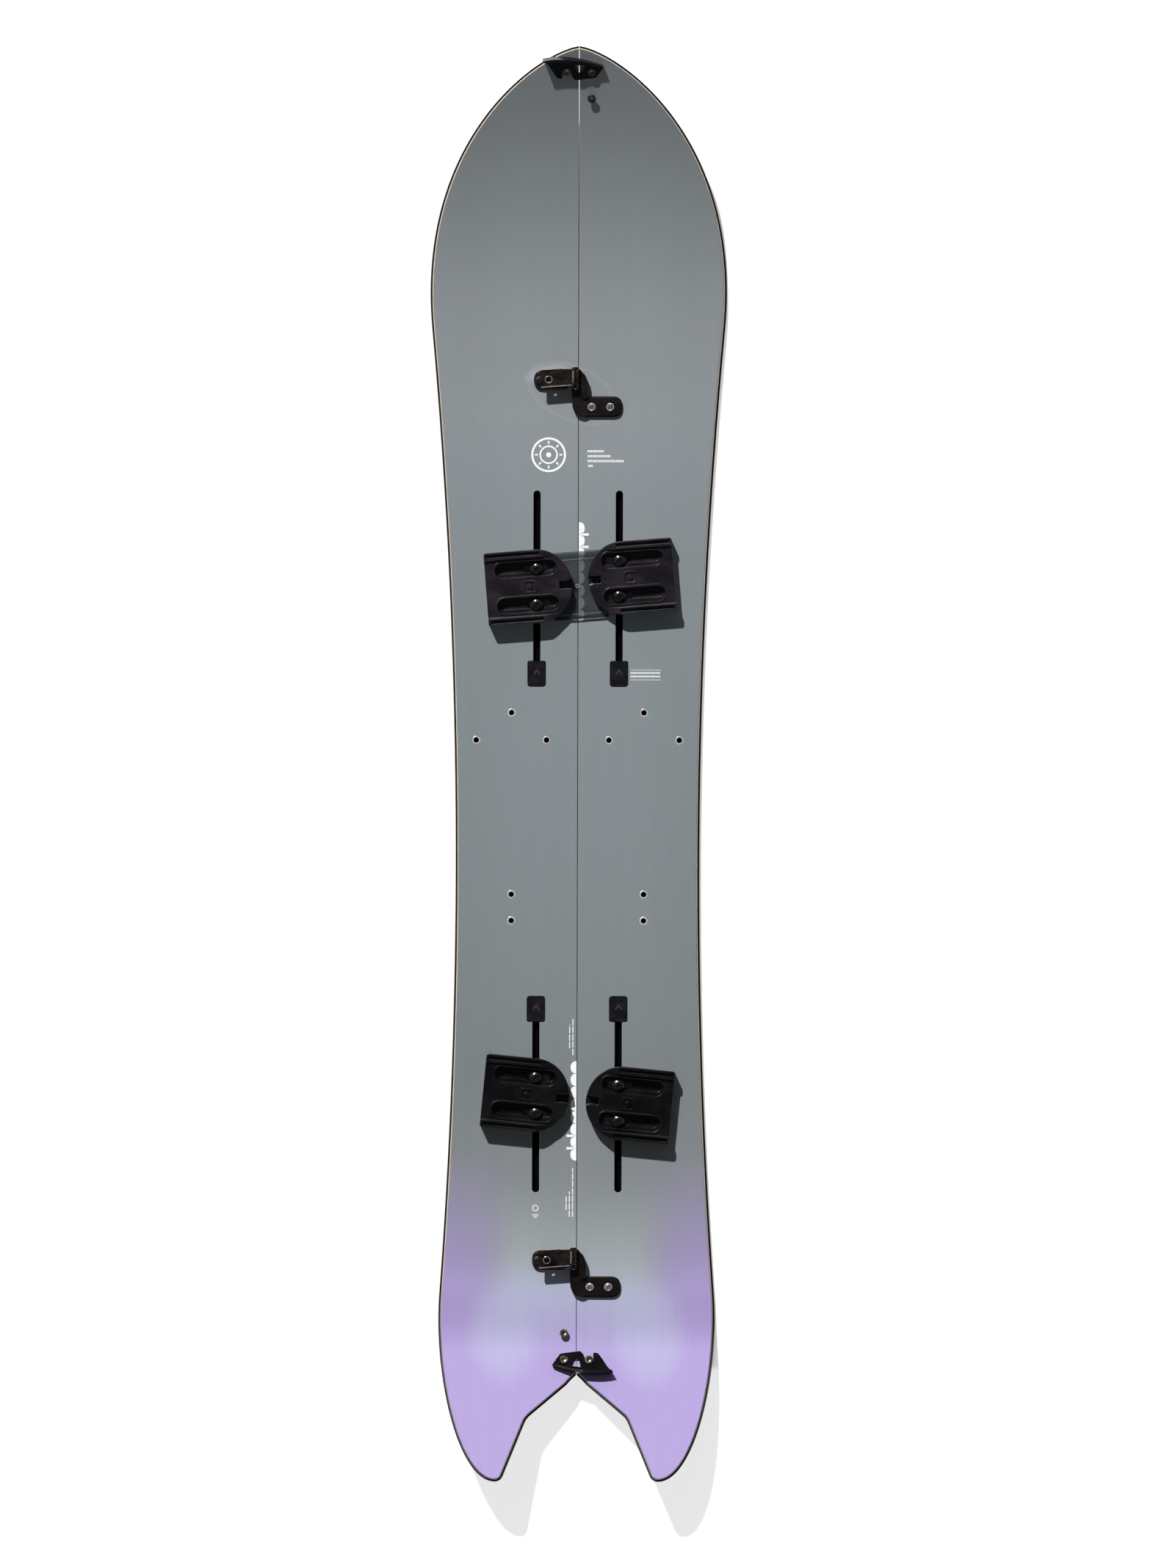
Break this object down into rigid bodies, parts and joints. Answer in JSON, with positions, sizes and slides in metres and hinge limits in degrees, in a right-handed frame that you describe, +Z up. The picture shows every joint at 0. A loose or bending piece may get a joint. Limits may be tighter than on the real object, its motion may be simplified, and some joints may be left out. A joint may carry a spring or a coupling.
{
  "type": "splitboard",
  "caption": "Swallow-tail splitboard in two halves with hooked tip and tail clips, lever board clips, deck channels and binding pucks.",
  "frame": {"origin": "on the seam, at the middle of the length, on the flat underside", "axes": "+Y towards the nose, +Z up off the deck, +X towards the right half seen from above"},
  "size_m": [0.3024, 1.4609, 0.0681],
  "materials": {
    "topsheet": "satin lacquered grey top sheet with faint grain, fading to lavender at the tail",
    "sidewall": "pale beige moulded sidewall",
    "core": "laminated light wood",
    "base": "black waxed sintered base",
    "steel": "ground steel",
    "black_nylon": "black glass-filled nylon with moulded edges",
    "channel": "black channel",
    "black_metal": "polished black anodised metal",
    "screw": "black chrome domed screws",
    "chrome": "bright chrome",
    "stud": "tarnished steel studs",
    "gauge": "smoky clear plastic"
  },
  "bodies": {
    "left_half": {"base_sheet_left": "base", "steel_edge_left": "steel", "sidewall_left": "sidewall", "core_left": "core", "topsheet_left": "topsheet", "channel_front_left": "channel", "channel_cap_front_left": "black_nylon", "channel_rear_left": "channel", "channel_cap_rear_left": "black_nylon", "tail_clip_pivot_stud": "stud", "tail_clip_parking_stud": "stud", "nose_clip_mate_stud": "stud", "latch_base_front": "black_nylon", "latch_base_screw_front_inner": "chrome", "latch_base_screw_front_outer": "chrome", "latch_base_rear": "black_nylon", "latch_base_screw_rear_inner": "chrome", "latch_base_screw_rear_outer": "chrome"},
    "right_half": {"base_sheet_right": "base", "steel_edge_right": "steel", "sidewall_right": "sidewall", "core_right": "core", "topsheet_right": "topsheet", "channel_front_right": "channel", "channel_cap_front_right": "black_nylon", "channel_rear_right": "channel", "channel_cap_rear_right": "black_nylon", "nose_clip_pivot_stud": "stud", "nose_clip_parking_stud": "stud", "tail_clip_mate_stud": "stud", "keeper_front": "black_nylon", "latch_pin_front": "chrome", "keeper_screw_front_inner": "chrome", "keeper_screw_front_outer": "chrome", "keeper_rear": "black_nylon", "latch_pin_rear": "chrome", "keeper_screw_rear_inner": "chrome", "keeper_screw_rear_outer": "chrome"},
    "nose_clip": {"nose_clip": "black_metal"},
    "tail_clip": {"tail_clip": "black_metal"},
    "front_lever": {"latch_lever_front": "black_metal"},
    "rear_lever": {"latch_lever_rear": "black_metal"},
    "carriage_front_left": {"nut_bar_front_left": "steel", "puck_screw_front_left_nose_side": "screw", "puck_screw_front_left_tail_side": "screw"},
    "puck_front_left": {"puck_front_left": "black_nylon", "alignment_gauge": "gauge"},
    "carriage_front_right": {"nut_bar_front_right": "steel", "puck_screw_front_right_nose_side": "screw", "puck_screw_front_right_tail_side": "screw"},
    "puck_front_right": {"puck_front_right": "black_nylon"},
    "carriage_rear_left": {"nut_bar_rear_left": "steel", "puck_screw_rear_left_nose_side": "screw", "puck_screw_rear_left_tail_side": "screw"},
    "puck_rear_left": {"puck_rear_left": "black_nylon"},
    "carriage_rear_right": {"nut_bar_rear_right": "steel", "puck_screw_rear_right_nose_side": "screw", "puck_screw_rear_right_tail_side": "screw"},
    "puck_rear_right": {"puck_rear_right": "black_nylon"}
  },
  "joints": [
    {"name": "split", "type": "slide", "parent": "left_half", "child": "right_half", "axis": [1, 0, 0], "range_m": [0, 0.02]},
    {"name": "nose_clip_turn", "type": "hinge", "parent": "right_half", "child": "nose_clip", "pos_m": [0.0127, 0.7055, 0.05288], "axis": [0, -0.3816, 0.9243], "range_deg": [-151, 0]},
    {"name": "tail_clip_turn", "type": "hinge", "parent": "left_half", "child": "tail_clip", "pos_m": [-0.0127, -0.6084, 0.01576], "axis": [0, 0.2787, 0.9604], "range_deg": [-151, 0]},
    {"name": "front_lever_lift", "type": "hinge", "parent": "right_half", "child": "front_lever", "pos_m": [-0.003, 0.3782, 0.0171], "axis": [0, 1, 0], "range_deg": [0, 101]},
    {"name": "rear_lever_lift", "type": "hinge", "parent": "right_half", "child": "rear_lever", "pos_m": [-0.003, -0.5197, 0.0171], "axis": [0, 1, 0], "range_deg": [0, 101]},
    {"name": "stance_front_left", "type": "slide", "parent": "left_half", "child": "carriage_front_left", "axis": [0, 1, 0], "range_m": [-0.054, 0.072]},
    {"name": "centring_front_left", "type": "slide", "parent": "carriage_front_left", "child": "puck_front_left", "axis": [0.9969, 0.0785, 0], "range_m": [-0.008, 0.005]},
    {"name": "stance_front_right", "type": "slide", "parent": "right_half", "child": "carriage_front_right", "axis": [0, 1, 0], "range_m": [-0.062, 0.064]},
    {"name": "centring_front_right", "type": "slide", "parent": "carriage_front_right", "child": "puck_front_right", "axis": [-0.9969, -0.0785, 0], "range_m": [-0.008, 0.005]},
    {"name": "stance_rear_left", "type": "slide", "parent": "left_half", "child": "carriage_rear_left", "axis": [0, 1, 0], "range_m": [-0.074, 0.052]},
    {"name": "centring_rear_left", "type": "slide", "parent": "carriage_rear_left", "child": "puck_rear_left", "axis": [0.9954, -0.0958, 0], "range_m": [-0.008, 0.005]},
    {"name": "stance_rear_right", "type": "slide", "parent": "right_half", "child": "carriage_rear_right", "axis": [0, 1, 0], "range_m": [-0.066, 0.06]},
    {"name": "centring_rear_right", "type": "slide", "parent": "carriage_rear_right", "child": "puck_rear_right", "axis": [-0.9954, 0.0958, 0], "range_m": [-0.008, 0.005]}
  ],
  "couplings": [
    {"joint": "nose_clip_turn", "follows": "split", "rad_per_m": -130.9},
    {"joint": "tail_clip_turn", "follows": "split", "rad_per_m": -130.9},
    {"joint": "front_lever_lift", "follows": "split", "rad_per_m": 87.2},
    {"joint": "rear_lever_lift", "follows": "split", "rad_per_m": 87.2}
  ]
}
